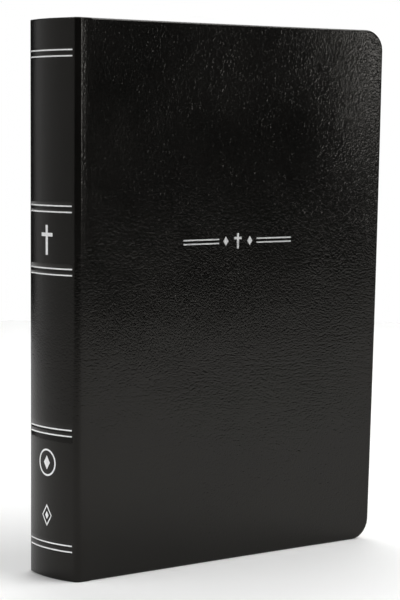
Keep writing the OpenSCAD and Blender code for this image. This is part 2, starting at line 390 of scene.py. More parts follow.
def rule_spans():
    """Lowest and highest z of each foil rule, read from the CAD node's own faces."""
    z = np.array([v.co.z for v in frame["nodes"]["spine_foil_rules"].data.vertices]) / MM
    levels = sorted({round(float(v), 3) for v in z})
    return [(levels[k], levels[k + 1]) for k in range(0, len(levels), 2)]


# Rows in from each end of the spine, with one on either side of the turn-in's edge
SPINE_EDGE_STEPS = EDGE_STEPS[:-1] + (14.7, 15.3)
# How deep a foil rule is pressed in, the slope beside it, and the band round it without other rows
RULE_SUNK = 0.09
RULE_SLOPE = 0.12
RULE_CLEAR = 0.4
# Half width of the round part of the spine that is turned in at both ends
ROUND_HALF_W = 15.2


def spine_rows(rules):
    """Heights of the grid's rows on the spine, with four at each foil rule."""
    rows = set(graded(0, HEIGHT, 3.0, SPINE_EDGE_STEPS, SPINE_EDGE_STEPS).tolist())
    for low, high in rules:
        rows = {r for r in rows if r < low - RULE_CLEAR or r > high + RULE_CLEAR}
        rows |= {low - RULE_SLOPE, low, high, high + RULE_SLOPE}
    return np.array(sorted(rows))


def spine_leather(material):
    """Leather-look skin of the spine, pressed in under the foil rules and made thick at its ends.

    The thick ends stand for the turn-in, so the inlay's ends lie inside them.
    """
    path, normals = spine_path()
    rules = rule_spans()
    rows = spine_rows(rules)
    nc, nr = len(path), len(rows)
    x = np.repeat(path[:, :1], nr, axis=1)
    y = np.repeat(path[:, 1:], nr, axis=1)
    z = np.repeat(rows[None, :], nc, axis=0)
    nx = np.repeat(normals[:, :1], nr, axis=1)
    ny = np.repeat(normals[:, 1:], nr, axis=1)
    d = np.minimum(z, HEIGHT - z)
    rounded = 1 - smooth_step((np.abs(y) - ROUND_HALF_W) / 1.2)
    at_end = 1 - smooth_step((d - TURN_IN_W + 0.4) / 0.8)
    thick = SKIN_T + (SPINE_END_T - SKIN_T) * rounded * at_end
    rolled = edge_roll(d, thick)
    in_rule = np.zeros_like(rows, bool)
    for low, high in rules:
        in_rule |= (rows >= low - CLOSE) & (rows <= high + CLOSE)
    stamped = RULE_SUNK * in_rule[None, :] * (np.abs(y) < RULE_HALF_W + 0.2)
    base = np.stack([x, y, z], axis=-1)
    lively = 0.07 * ripple(base, 0.05, 5.3) * smooth_step(d / 3) * rounded
    out = -rolled - stamped + lively
    outer = np.stack([x + nx * out, y + ny * out, z], axis=-1)
    back = -(thick - rolled)
    inner = np.stack([x + nx * back, y + ny * back, z], axis=-1)
    piece = slab("spine_leather", outer, inner, [material], welded=True)
    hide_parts("spine_skin")
    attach(piece, "spine")
    return piece


# ---------------------------------------------------------------- foil

FOIL_PROUD = 0.02
FOIL_T = 0.12
# Depth of the rules below the spine's face, and how much further out the ornament is, on uneven skin
RULE_DEPTH = 0.05
ORNAMENT_PROUD = 0.1
# Distance between the cuts that let foil follow a curve
SPINE_CUTS = 0.8
COVER_CUTS = 2.0


def spine_place(u, v, depth):
    """Point of the spine's outer face: u across the spine, v up."""
    angle = math.asin(u / SPINE_R)
    r = SPINE_R - depth
    return ARC_X - r * math.cos(angle), r * math.sin(angle), v


def front_place(u, v, depth):
    """Point of the front cover's outer face: u along X, v up."""
    return tuple(cover_place(np.array(u), np.array(v), depth, FRONT))


def stamp(name, shapes, place, depth, step, material, body, node):
    """Foil cut to flat outlines and laid on a curved face, as one thin closed shell for each outline."""
    bm = bmesh.new()
    for shape in shapes:
        verts = [bm.verts.new((u, v, 0)) for u, v in shape]
        bm.faces.new(verts)
    bmesh.ops.remove_doubles(bm, verts=bm.verts, dist=1e-5)
    low = min(v.co.x for v in bm.verts)
    high = max(v.co.x for v in bm.verts)
    for cut_u in np.arange(low + step, high, step):
        geometry = [*bm.verts, *bm.edges, *bm.faces]
        bmesh.ops.bisect_plane(bm, geom=geometry, plane_co=(cut_u, 0, 0), plane_no=(1, 0, 0), dist=1e-4)
    bm.verts.index_update()
    count = len(bm.verts)
    flat = [(v.co.x, v.co.y) for v in bm.verts]
    top = [[v.index for v in f.verts] for f in bm.faces]
    faces = top + [[i + count for i in reversed(f)] for f in top]
    for e in bm.edges:
        if len(e.link_faces) == 1:
            a, b = e.verts[0].index, e.verts[1].index
            faces.append([a, b, b + count, a + count])
    bm.free()
    points = [place(u, v, depth) for u, v in flat] + [place(u, v, depth + FOIL_T) for u, v in flat]
    piece = add_mesh(name, points, faces, [material])
    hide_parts(node)
    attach(piece, body)
    return piece


def bar(u0, u1, v0, v1):
    """Outline of an upright rectangle."""
    return [(u0, v0), (u1, v0), (u1, v1), (u0, v1)]


def diamond(u, v, w, h):
    """Outline of a diamond about its middle."""
    return [(u - w / 2, v), (u, v - h / 2), (u + w / 2, v), (u, v + h / 2)]


def cross(u, v, w, h, arm_v, line):
    """Latin cross outline, with its arms at height arm_v above its middle."""
    s = line / 2
    a = v + arm_v
    return [(u - s, v - h / 2), (u + s, v - h / 2), (u + s, a - s), (u + w / 2, a - s),
            (u + w / 2, a + s), (u + s, a + s), (u + s, v + h / 2), (u - s, v + h / 2),
            (u - s, a + s), (u - w / 2, a + s), (u - w / 2, a - s), (u - s, a - s)]


def ring(u, v, outer_w, outer_h, inner_w, inner_h, count):
    """Quads of a band between two ellipses, or between two diamonds when count is 4."""
    turn = [2 * math.pi * k / count for k in range(count + 1)]
    quads = []
    for a, b in zip(turn, turn[1:]):
        quads.append([(u + w * math.cos(t) / 2, v + h * math.sin(t) / 2)
                      for w, h, t in ((inner_w, inner_h, a), (outer_w, outer_h, a),
                                      (outer_w, outer_h, b), (inner_w, inner_h, b))])
    return quads


def flat_box(node, across):
    """Middle, width and height of a foil node whose width runs along the axis 'across'."""
    low, high = box_mm(node)
    middle = (low + high) / 2
    return middle[across], middle[2], high[across] - low[across], high[2] - low[2]


# Widths of the ring's and diamond's lines, and a cross's arms above its middle as a share of its height
RING_LINE = 0.8
DIAMOND_LINE = 0.8
CROSS_ARM = 0.18


def make_spine_foil(material):
    """Rules, cross, ring and diamond on the spine."""
    rules = [bar(-RULE_HALF_W, RULE_HALF_W, low, high) for low, high in rule_spans()]
    _, v, w, h = flat_box("spine_foil_cross", 1)
    upper = [cross(0, v, w, h, CROSS_ARM * h, 1.6)]
    _, v, _, size = flat_box("spine_foil_ring", 1)
    inner = size - 2 * RING_LINE
    badge = ring(0, v, size, size, inner, inner, 64) + [diamond(0, v, 4.4, 6.2)]
    _, v, w, h = flat_box("spine_foil_diamond", 1)
    share = 1 - 2.6 * DIAMOND_LINE / h
    device = ring(0, v, w, h, w * share, h * share, 4) + [diamond(0, v, 0.26 * h, 0.36 * h)]
    for name, shapes, depth in (("rules", rules, RULE_DEPTH), ("cross", upper, -FOIL_PROUD),
                                ("ring", badge, -FOIL_PROUD), ("diamond", device, -FOIL_PROUD)):
        stamp(f"spine_{name}", shapes, spine_place, depth, SPINE_CUTS, material, "spine",
              f"spine_foil_{name}")


def make_front_ornament(material):
    """A small cross between two diamonds and two pairs of rules."""
    u, v, w, h = flat_box("front_foil_ornament", 0)
    shapes = [cross(u, v, 0.62 * h, h, CROSS_ARM * h, 1.1)]
    for side in (-1, 1):
        shapes.append(diamond(u + side * 7, v, 3, 4.2))
        ends = sorted((u + side * 11, u + side * w / 2))
        for level in (-0.9, 0.9):
            shapes.append(bar(ends[0], ends[1], v + level - 0.3, v + level + 0.3))
    stamp("front_ornament", shapes, front_place, -FOIL_PROUD - ORNAMENT_PROUD, COVER_CUTS, material,
          "front_cover", "front_foil_ornament")


# ---------------------------------------------------------------- boards and endpapers

def cover_plate(name, side, x0, x1, margin, radius, depth0, depth1, material, hinge_steps=(), pressed=0.0):
    """Layer of a cover between two depths. It follows the cover's lean and lies flat across the crease.

    It is thinner by 'pressed' where the turned-in skin lies on it. Its rows and columns are wide
    apart there, so that this step is a slope.
    """
    z0, z1 = margin, HEIGHT - margin
    corner_steps = tuple(radius * (1 - math.cos(a)) for a in np.radians((12, 27, 42, 57, 73, 90)))
    columns = graded(x0, x1, 4.0, hinge_steps, corner_steps)
    rows = graded(z0, z1, 5.0, corner_steps, corner_steps)
    x, z = plate_grid(x1, z0, z1, radius, columns, rows)
    d = inset(x, z, FORE_X, 0, HEIGHT, CORNER_R)
    depth1 = depth1 - pressed * (1 - smooth_step((d - TURN_IN_W) / 0.2))
    layers = [np.stack([x, side * (HALF_T - depth + lean(x, z, side)), z], axis=-1)
              for depth in (depth0, depth1)]
    return slab(name, *layers, [material])


# Columns of the pastedown across its bend, and how far it starts before the hinge line and bends after it
BEND_STEPS = tuple(np.round(np.arange(0.25, 6.1, 0.45), 3))
PASTE_BEFORE = 0.2


def make_cover_layers(side, board_material, paper_material):
    """Board and pastedown of one cover."""
    name = SIDE_NAMES[side]
    board = cover_plate(f"{name}_board", side, BOARD_LOW[0], BOARD_HIGH[0], BOARD_LOW[2], CORNER_R - SKIN_T,
                        SKIN_T + 0.02, COVER_T - CLOSE, board_material, pressed=TURN_IN_T + CLOSE)
    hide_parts(f"{name}_cover_board")
    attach(board, f"{name}_cover")
    paper_t = PASTE_HIGH[1] - PASTE_LOW[1]
    start = HINGE_X - PASTE_BEFORE
    paste = cover_plate(f"{name}_pastedown_paper", side, start, PASTE_HIGH[0], PASTE_LOW[2], PAGE_CORNER_R,
                        COVER_T + CLOSE, COVER_T + paper_t, paper_material, BEND_STEPS)
    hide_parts(f"{name}_pastedown")
    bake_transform(paste)


# ---------------------------------------------------------------- pages

# Bundles of leaves in a signature, and the depth and half width of the notch between two of them
LEAF_BUNDLES = 4
NOTCH = 0.05
NOTCH_HALF_W = 0.022
# Width of the strip that bends at the hinge
PAGE_BEND = {"flyleaf": 6.0, "outer": 9.0, "section": 14.0}
# Clearance between neighbouring signatures in the CAD
SIGNATURE_GAP = 0.05
# How far the edges of signatures stand out unevenly
EDGE_JITTER = 0.07


def leaf_block(y0, y1, x0, x1, bundles, bend, jitter):
    """Points, faces and their kinds (0 edge, 1 page) of one signature, notched between its leaf bundles."""
    arc = np.radians((0, 15, 30, 45, 60, 75, 90))
    bend_columns = np.arange(0, bend + 0.1, 0.7) if bend else np.array([0.0])
    straight = np.linspace(x0 + bend + 4, x1 - PAGE_CORNER_R - 4, 6)
    columns = [(x0 + c, 0.0) for c in bend_columns] + [(c, 0.0) for c in straight]
    columns += [(x1 - PAGE_CORNER_R + PAGE_CORNER_R * math.sin(a), a) for a in arc]
    levels = [(y0, 0.0)]
    for k in range(1, bundles):
        y = y0 + (y1 - y0) * k / bundles
        levels += [(y - NOTCH_HALF_W, 0.0), (y, NOTCH), (y + NOTCH_HALF_W, 0.0)]
    levels.append((y1, 0.0))
    points = []
    for y, notch in levels:
        for x, a in columns:
            rise = PAGE_CORNER_R * (1 - math.cos(a))
            in_x = notch * math.sin(a)
            in_z = notch * math.cos(a)
            points.append((x - in_x + jitter * math.sin(a), y, PAGE_Z0 + rise + in_z))
            points.append((x - in_x + jitter * math.sin(a), y, PAGE_Z1 - rise - in_z))
    n = len(columns)
    faces, kinds = [], []

    def at(level, column, head):
        return (level * n + column) * 2 + head

    last = len(levels) - 1
    for c in range(n - 1):
        faces.append([at(0, c, 0), at(0, c + 1, 0), at(0, c + 1, 1), at(0, c, 1)])
        faces.append([at(last, c, 0), at(last, c, 1), at(last, c + 1, 1), at(last, c + 1, 0)])
        kinds += [1, 1]
    for k in range(last):
        for c in range(n - 1):
            faces.append([at(k, c, 0), at(k + 1, c, 0), at(k + 1, c + 1, 0), at(k, c + 1, 0)])
            faces.append([at(k, c, 1), at(k, c + 1, 1), at(k + 1, c + 1, 1), at(k + 1, c, 1)])
            kinds += [0, 0]
        for c in (0, n - 1):
            faces.append([at(k, c, 0), at(k, c, 1), at(k + 1, c, 1), at(k + 1, c, 0)])
            kinds.append(0)
    return points, faces, kinds


def signature_boxes(node):
    """Boxes of a CAD node's separate signatures, in mm, from the front to the back."""
    mesh = frame["nodes"][node].data
    corners = np.array([v.co for v in mesh.vertices]) / MM
    depths = [corners[list(f.vertices), 1] for f in mesh.polygons]
    spans = []
    for low, high in sorted((ys.min(), ys.max()) for ys in depths):
        if spans and low < spans[-1][1] + SIGNATURE_GAP / 2:
            spans[-1][1] = max(spans[-1][1], high)
        else:
            spans.append([low, high])
    boxes = []
    for low, high in spans:
        inside = (corners[:, 1] > low - SIGNATURE_GAP / 2) & (corners[:, 1] < high + SIGNATURE_GAP / 2)
        xs = corners[inside, 0]
        boxes.append((low, high, xs.min(), xs.max()))
    return boxes


def make_pages(name, node, body, bend, edge_material, face_material, bundles=LEAF_BUNDLES):
    """One piece with all the signatures of a CAD node. Unless bend is 0 it gets close columns over a strip
    of that width at the hinge and is left free of its body; with bend 0 it is attached to its body.
    """
    points, faces, kinds = [], [], []
    for low, high, x0, x1 in signature_boxes(node):
        p, f, k = leaf_block(low, high, x0, x1, bundles, bend, rng.uniform(-EDGE_JITTER, EDGE_JITTER))
        faces += [[i + len(points) for i in face] for face in f]
        points += p
        kinds += k
    piece = add_mesh(name, points, faces, [edge_material, face_material], kinds, sharp_deg=30)
    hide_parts(node)
    if bend:
        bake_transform(piece)
    else:
        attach(piece, body)
    return piece


# ---------------------------------------------------------------- head and tail bands

BAND_BEAD_R = 0.9
# Room between bead and inlay, for the leather that is turned in there
BAND_GAP = 0.25
# Pitch of the slanting thread, and thickness of the tape
BAND_PITCH = 1.1
TAPE_T = 0.22


def make_band(node, name, at_head, thread_material):
    """Band at one end of the block: thread wound slantwise round a bead, and a tape glued to the liner."""
    low, high = box_mm(node)
    half_w = high[1]
    radius = SPINE_R - SKIN_T - INLAY_T - BAND_GAP - BAND_BEAD_R
    z = (high[2] - BAND_BEAD_R) if at_head else (low[2] + BAND_BEAD_R)
    per_ring = 16
    steps = int(2 * half_w / 0.16)
    points = []
    for k in range(steps + 1):
        y = -half_w + 2 * half_w * k / steps
        angle = math.asin(y / radius)
        for m in range(per_ring):
            turn = 2 * math.pi * m / per_ring
            wound = abs(math.sin(math.pi * (y / BAND_PITCH + turn / (2 * math.pi))))
            r = BAND_BEAD_R * (0.86 + 0.14 * wound ** 0.6)
            out = radius + r * math.cos(turn)
            points.append((ARC_X - out * math.cos(angle), out * math.sin(angle), z + r * math.sin(turn)))
    faces = []
    for k in range(steps):
        for m in range(per_ring):
            n = (m + 1) % per_ring
            here, beyond = k * per_ring, (k + 1) * per_ring
            faces.append([here + m, beyond + m, beyond + n, here + n])
    faces.append(list(range(per_ring)))
    faces.append([steps * per_ring + m for m in reversed(range(per_ring))])
    # Tape behind the bead, glued on the liner
    tape = len(points)
    rows = (low[2], z) if at_head else (z, high[2])
    cells = 24
    for z_row in rows:
        for depth in (0.0, TAPE_T):
            for k in range(cells + 1):
                angle = math.asin((-half_w + 2 * half_w * k / cells) / radius)
                r = LINER_R + CLOSE + depth
                points.append((ARC_X - r * math.cos(angle), r * math.sin(angle), z_row))
    line = cells + 1
    a, b, c, d = tape, tape + line, tape + 2 * line, tape + 3 * line
    for k in range(cells):
        for p, q in ((a, b), (b, d), (d, c), (c, a)):
            faces.append([p + k, q + k, q + k + 1, p + k + 1])
    for k in (0, cells):
        faces.append([a + k, b + k, d + k, c + k])
    piece = add_mesh(name, points, faces, [thread_material])
    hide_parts(node)
    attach(piece, "spine")
    return piece


# ---------------------------------------------------------------- materials

class Shader:
    """Short way to write a material's nodes."""

    def __init__(self, name, on_cad=False):
        self.material = bpy.data.materials.new(name)
        self.material.use_nodes = True
        self.tree = self.material.node_tree
        self.tree.nodes.clear()
        self.bsdf = self.add("ShaderNodeBsdfPrincipled")
        output = self.add("ShaderNodeOutputMaterial")
        self.link(self.bsdf.outputs["BSDF"], output.inputs["Surface"])
        if on_cad:
            self.place = self.add("ShaderNodeTexCoord").outputs["Object"]
        else:
            self.place = self.add("ShaderNodeAttribute", attribute_name="rest").outputs["Vector"]

    def add(self, kind, **properties):
        node = self.tree.nodes.new(kind)
        for key, value in properties.items():
            setattr(node, key, value)
        return node

    def link(self, source, target):
        self.tree.links.new(source, target)

    def feed(self, socket, value):
        """Links an input to another node's output, or sets it to a value."""
        if isinstance(value, bpy.types.NodeSocket):
            self.link(value, socket)
        else:
            socket.default_value = value

    def fill(self, node, **inputs):
        """Feeds inputs by name, with _ for a space."""
        for key, value in inputs.items():
            self.feed(node.inputs[key.replace("_", " ")], value)
        return node

    def axes(self):
        """X, Y and Z of the place at rest, by name."""
        node = self.add("ShaderNodeSeparateXYZ")
        self.link(self.place, node.inputs[0])
        return node.outputs

    def scaled(self, x, y, z, shift=(0, 0, 0)):
        mapping = self.add("ShaderNodeMapping")
        self.link(self.place, mapping.inputs["Vector"])
        mapping.inputs["Scale"].default_value = (x, y, z)
        mapping.inputs["Location"].default_value = shift
        return mapping.outputs["Vector"]

    def noise(self, vector, scale=1.0, detail=3.0, roughness=0.55):
        node = self.add("ShaderNodeTexNoise")
        self.fill(node, Vector=vector, Scale=scale, Detail=detail, Roughness=roughness)
        return node.outputs["Fac"]

    def cells(self, vector, scale, feature="F1", randomness=1.0):
        node = self.add("ShaderNodeTexVoronoi", feature=feature)
        self.fill(node, Vector=vector, Scale=scale, Randomness=randomness)
        return node.outputs["Distance"]

    def math(self, operation, a, b=0.0, c=0.0):
        node = self.add("ShaderNodeMath", operation=operation)
        for socket, value in zip(node.inputs, (a, b, c)):
            self.feed(socket, value)
        return node.outputs[0]

    def span(self, value, low, high, out_low=0.0, out_high=1.0):
        """Maps low..high to out_low..out_high, clamped."""
        node = self.add("ShaderNodeMapRange")
        self.fill(node, Value=value, From_Min=low, From_Max=high, To_Min=out_low, To_Max=out_high)
        return node.outputs["Result"]

    def mix(self, factor, a, b):
        node = self.add("ShaderNodeMix", data_type="RGBA")
        for socket, value in ((node.inputs[0], factor), (node.inputs[6], a), (node.inputs[7], b)):
            self.feed(socket, value)
        return node.outputs[2]

    def bump(self, height, strength, distance_mm):
        node = self.add("ShaderNodeBump")
        self.fill(node, Height=height, Strength=strength, Distance=distance_mm * MM)
        self.link(node.outputs["Normal"], self.bsdf.inputs["Normal"])

    def finish(self, **inputs):
        self.fill(self.bsdf, **inputs)
        return self.material


LEATHER_BUMP = 1.0
LEATHER_DEPTH = 0.058
LEATHER_SHINE = 0.235
# Share of the grain's depth that is left beside the spine
CALM_GRAIN = 0.5


def rgb(r, g, b):
    return (r, g, b, 1.0)


def leather():
    """Near-black grained skin: pebbles and fine folds, deeper in some places than in others."""
    s = Shader("leather")
    warp = s.add("ShaderNodeTexNoise")
    s.fill(warp, Vector=s.place, Scale=260.0, Detail=2.0)
    wavy = s.add("ShaderNodeVectorMath", operation="MULTIPLY_ADD")
    s.link(warp.outputs["Color"], wavy.inputs[0])
    wavy.inputs[1].default_value = (0.0011, 0.0011, 0.0011)
    s.link(s.place, wavy.inputs[2])
    at = wavy.outputs[0]
    broad = s.noise(s.place, 22.0, 3)
    pebbles = s.cells(at, 1250, "SMOOTH_F1")
    pebbles = s.math("MULTIPLY", pebbles, pebbles)
    small = s.cells(at, 2500, "SMOOTH_F1")
    folds = s.noise(at, 520, 4, 0.6)
    strong = s.span(s.noise(s.scaled(1, 1, 1, (2.0, 5.0, 1.0)), 16, 2), 0.35, 0.65, 0.75, 1.15)
    height = s.math("MULTIPLY_ADD", pebbles, -1.5, s.math("MULTIPLY", folds, 0.7))
    height = s.math("MULTIPLY_ADD", small, -0.4, height)
    # The skin is drawn tighter, and its grain is shallower, towards the spine
    place = s.axes()
    drawn = s.span(place["X"], HINGE_X * MM, 0.0, CALM_GRAIN, 1.0)
    depth = s.math("MULTIPLY", strong, drawn)
    s.bump(s.math("MULTIPLY", height, depth), LEATHER_BUMP, LEATHER_DEPTH)
    tone = s.mix(s.span(broad, 0.35, 0.7), rgb(0.0030, 0.0029, 0.0026), rgb(0.0050, 0.0047, 0.0042))
    worn = s.math("MULTIPLY_ADD", broad, 0.6, s.math("MULTIPLY", folds, 0.4))
    return s.finish(Base_Color=tone, Roughness=s.span(worn, 0.3, 0.7, 0.10, 0.165),
                    Specular_IOR_Level=LEATHER_SHINE, Specular_Tint=rgb(1.0, 0.965, 0.90))


def foil(name, light, dark, roughness):
    """Silver stamping foil: half mirror and half white, with the skin's grain showing in it."""
    s = Shader(name)
    grain = s.noise(s.place, 900, 4)
    worn = s.noise(s.scaled(1, 1, 1, (1, 2, 3)), 3200, 2)
    tone = s.mix(s.span(grain, 0.35, 0.65), rgb(*dark), rgb(*light))
    tone = s.mix(s.span(worn, 0.68, 0.75), tone, rgb(0.05, 0.05, 0.05))
    s.bump(grain, 0.25, 0.05)
    return s.finish(Base_Color=tone, Roughness=s.span(grain, 0.3, 0.7, roughness, roughness + 0.12),
                    Metallic=0.45)


def leaf_edges(name, on_cad=False):
    """Edges of many thin leaves: fine lines along the leaves, slightly yellowed."""
    s = Shader(name, on_cad)
    lines = s.noise(s.scaled(6, 9000, 6), 1.0, 3, 0.7)
    soft = s.noise(s.scaled(1, 1, 1), 60, 3)
    tone = s.mix(s.span(lines, 0.3, 0.68), rgb(0.56, 0.49, 0.36), rgb(0.84, 0.79, 0.68))
    tone = s.mix(s.span(soft, 0.4, 0.75, 0.0, 0.35), tone, rgb(0.70, 0.62, 0.46))
    s.bump(lines, 0.6, 0.05)
    return s.finish(Base_Color=tone, Roughness=s.span(soft, 0.3, 0.7, 0.62, 0.82), Specular_IOR_Level=0.3)


def blank_paper(name, light, shade):
    """Uncoated paper with faint fibres."""
    s = Shader(name)
    fibre = s.noise(s.scaled(1, 1, 1), 1400, 4, 0.7)
    cloud = s.noise(s.scaled(1, 1, 1, (4, 1, 2)), 35, 3)
    tone = s.mix(s.span(cloud, 0.35, 0.7), rgb(*light), rgb(*shade))
    tone = s.mix(s.span(fibre, 0.62, 0.75, 0.0, 0.35), tone, rgb(0.62, 0.54, 0.42))
    s.bump(fibre, 0.35, 0.03)
    return s.finish(Base_Color=tone, Roughness=s.span(cloud, 0.3, 0.7, 0.66, 0.8), Specular_IOR_Level=0.3)


def printed_page():
    """Thin paper with two columns of plain grey bars where the lines of text would be."""
    s = Shader("printed_page")
    pitch = 2.9 * MM
    place = s.axes()
    x, z = place["X"], place["Z"]
    row = s.math("DIVIDE", z, pitch)
    number = s.math("FLOOR", row)
    off_line = s.math("ABSOLUTE", s.math("SUBTRACT", s.math("FRACT", row), 0.5))
    line = s.math("LESS_THAN", off_line, 0.23)
    at = s.add("ShaderNodeCombineXYZ")
    s.link(s.math("MULTIPLY", x, 420), at.inputs["X"])
    s.link(s.math("MULTIPLY", number, 3.7), at.inputs["Y"])
    words = s.math("GREATER_THAN", s.noise(at.outputs[0], 1.0, 1), 0.40)
    middle = (PAGES_LOW[0] + PAGES_HIGH[0]) / 2 * MM
    from_middle = s.math("ABSOLUTE", s.math("SUBTRACT", x, middle))
    off_column = s.math("ABSOLUTE", s.math("SUBTRACT", from_middle, 35.5 * MM))
    column = s.math("LESS_THAN", off_column, 32 * MM)
    off_page = s.math("ABSOLUTE", s.math("SUBTRACT", z, HEIGHT / 2 * MM))
    on_page = s.math("LESS_THAN", off_page, 104 * MM)
    ink = s.math("MULTIPLY", s.math("MULTIPLY", line, words), s.math("MULTIPLY", column, on_page))
    cloud = s.noise(s.scaled(1, 1, 1), 40, 3)
    fibre = s.noise(s.scaled(1, 1, 1), 1600, 3, 0.7)
    paper = s.mix(s.span(cloud, 0.35, 0.7), rgb(0.86, 0.83, 0.75), rgb(0.80, 0.76, 0.66))
    tone = s.mix(s.math("MULTIPLY", ink, 0.78), paper, rgb(0.06, 0.055, 0.05))
    s.bump(fibre, 0.3, 0.02)
    return s.finish(Base_Color=tone, Roughness=s.span(cloud, 0.3, 0.7, 0.6, 0.75), Specular_IOR_Level=0.35)


def map_page():
    """Coated paper with a made-up coastline inside a ruled frame."""
    s = Shader("map_page")
    place = s.axes()
    shore = s.noise(s.scaled(1, 0, 1, (3, 0, 1)), 16, 8, 0.6)
    relief = s.noise(s.scaled(1, 0, 1), 55, 6)
    land = s.mix(s.span(relief, 0.3, 0.7), rgb(0.62, 0.60, 0.38), rgb(0.66, 0.50, 0.32))
    sea = s.mix(s.span(relief, 0.3, 0.7), rgb(0.45, 0.62, 0.72), rgb(0.52, 0.68, 0.76))
    tone = s.mix(s.math("GREATER_THAN", shore, 0.5), sea, land)
    middle = (PAGES_LOW[0] + PAGES_HIGH[0]) / 2 * MM
    off_x = s.math("DIVIDE", s.math("ABSOLUTE", s.math("SUBTRACT", place["X"], middle)), 72 * MM)
    off_z = s.math("DIVIDE", s.math("ABSOLUTE", s.math("SUBTRACT", place["Z"], HEIGHT / 2 * MM)),
                   108 * MM)
    out = s.math("MAXIMUM", off_x, off_z)
    tone = s.mix(s.math("GREATER_THAN", out, 0.985), tone, rgb(0.08, 0.07, 0.06))
    tone = s.mix(s.math("GREATER_THAN", out, 1.0), tone, rgb(0.86, 0.84, 0.77))
    s.bump(relief, 0.05, 0.02)
    return s.finish(Base_Color=tone, Roughness=s.span(relief, 0.3, 0.7, 0.32, 0.42), Specular_IOR_Level=0.5)


def card(name, light, dark, on_cad=False):
    """Brown card with fibres and flecks."""
    s = Shader(name, on_cad)
    fibre = s.noise(s.scaled(1, 1, 0.4), 900, 5, 0.7)
    flecks = s.noise(s.scaled(1, 1, 1, (7, 3, 5)), 420, 2)
    tone = s.mix(s.span(fibre, 0.3, 0.7), rgb(*dark), rgb(*light))
    tone = s.mix(s.span(flecks, 0.66, 0.74), tone, rgb(*[0.5 * c for c in dark]))
    s.bump(fibre, 0.5, 0.05)
    return s.finish(Base_Color=tone, Roughness=s.span(fibre, 0.3, 0.7, 0.72, 0.9), Specular_IOR_Level=0.25)


def woven_cloth():
    """Weave of pale threads 0.9 mm apart."""
    s = Shader("mull_cloth", on_cad=True)
    place = s.axes()
    threads = []
    for axis in ("Y", "Z"):
        turn = s.math("MULTIPLY", place[axis], 2 * math.pi / (0.9 * MM))
        threads.append(s.math("MULTIPLY_ADD", s.math("SINE", turn), 0.5, 0.5))
    weave = s.math("MAXIMUM", threads[0], threads[1])
    tone = s.mix(s.span(weave, 0.5, 0.95), rgb(0.50, 0.45, 0.30), rgb(0.80, 0.77, 0.68))
    s.bump(weave, 0.8, 0.15)
    return s.finish(Base_Color=tone, Roughness=s.span(weave, 0.0, 1.0, 0.9, 0.78), Sheen_Weight=0.2)


def dried_glue():
    """Yellowish glue with runs in it."""
    s = Shader("dried_glue", on_cad=True)
    runs = s.noise(s.scaled(1, 1, 0.3), 300, 4)
    tone = s.mix(s.span(runs, 0.3, 0.7), rgb(0.72, 0.64, 0.36), rgb(0.82, 0.77, 0.56))
    s.bump(runs, 0.6, 0.12)
    return s.finish(Base_Color=tone, Roughness=s.span(runs, 0.3, 0.7, 0.3, 0.5))


def band_thread():
    """Two colours of thread wound in turn round the bands."""
    s = Shader("band_thread")
    place = s.axes()
    row = s.math("FRACT", s.math("DIVIDE", place["Y"], 2.2 * MM))
    light = s.math("LESS_THAN", row, 0.5)
    fibre = s.noise(s.scaled(1, 1, 1), 3000, 3)
    dark = s.mix(fibre, rgb(0.010, 0.010, 0.011), rgb(0.035, 0.035, 0.038))
    pale = s.mix(fibre, rgb(0.55, 0.54, 0.52), rgb(0.80, 0.79, 0.76))
    s.bump(fibre, 0.5, 0.06)
    return s.finish(Base_Color=s.mix(light, dark, pale), Roughness=s.span(fibre, 0.3, 0.7, 0.42, 0.62),
                    Sheen_Weight=0.3)


def cover_cad(node, material):
    """Gives a kept CAD node its only material."""
    mesh = frame["nodes"][node].data
    mesh.materials.clear()
    mesh.materials.append(material)


# ---------------------------------------------------------------- studio

# The camera, in the frame's axes: how far it is turned, tipped down and rolled, and where it stands
CAMERA_YAW = -39.77
CAMERA_PITCH = 4.385
CAMERA_ROLL = 0.298
CAMERA_PLACE = (-0.6248, -0.7502, 0.1936)
CAMERA_LENS = 127.27
CAMERA_SHIFT = (-0.0033, -0.0019)
SENSOR = 36.0

# Radius of the floor, and height of the soft boxes
FLOOR_R = 1.25
BOX_HEIGHT = 1.2
# Overhead soft boxes: name, x, y and power
SOFT_BOXES = (("key_box", 0.5, -0.6, 16.0), ("back_box", 0.6, 0.75, 13.0), ("left_box", -0.9, 0.1, 6.5))


def make_camera():
    """The camera at the photograph's viewing angle."""
    data = bpy.data.cameras.new("camera")
    data.sensor_width = SENSOR
    data.lens = CAMERA_LENS
    data.shift_x, data.shift_y = CAMERA_SHIFT
    data.clip_start, data.clip_end = 0.01, 50
    turned = (Matrix.Rotation(math.radians(CAMERA_ROLL), 3, "Y")
              @ Matrix.Rotation(math.radians(CAMERA_PITCH), 3, "X")
              @ Matrix.Rotation(math.radians(-CAMERA_YAW), 3, "Z"))
    right, forward, up = turned
    axes = Matrix((right, up, -forward)).transposed().to_4x4()
    camera = bpy.data.objects.new("camera", data)
    camera.matrix_world = Matrix.Translation(CAMERA_PLACE) @ axes
    bpy.context.scene.collection.objects.link(camera)
    bpy.context.scene.camera = camera


def add_area_light(name, place, target, size, power):
    """A soft box at a place, facing a target."""
    data = bpy.data.lights.new(name, "AREA")
    data.shape = "RECTANGLE"
    data.size, data.size_y = size
    data.energy = power
    lamp = bpy.data.objects.new(name, data)
    lamp.location = place
    lamp.rotation_mode = "QUATERNION"
    lamp.rotation_quaternion = (Vector(target) - Vector(place)).to_track_quat("-Z", "Y")
    bpy.context.scene.collection.objects.link(lamp)


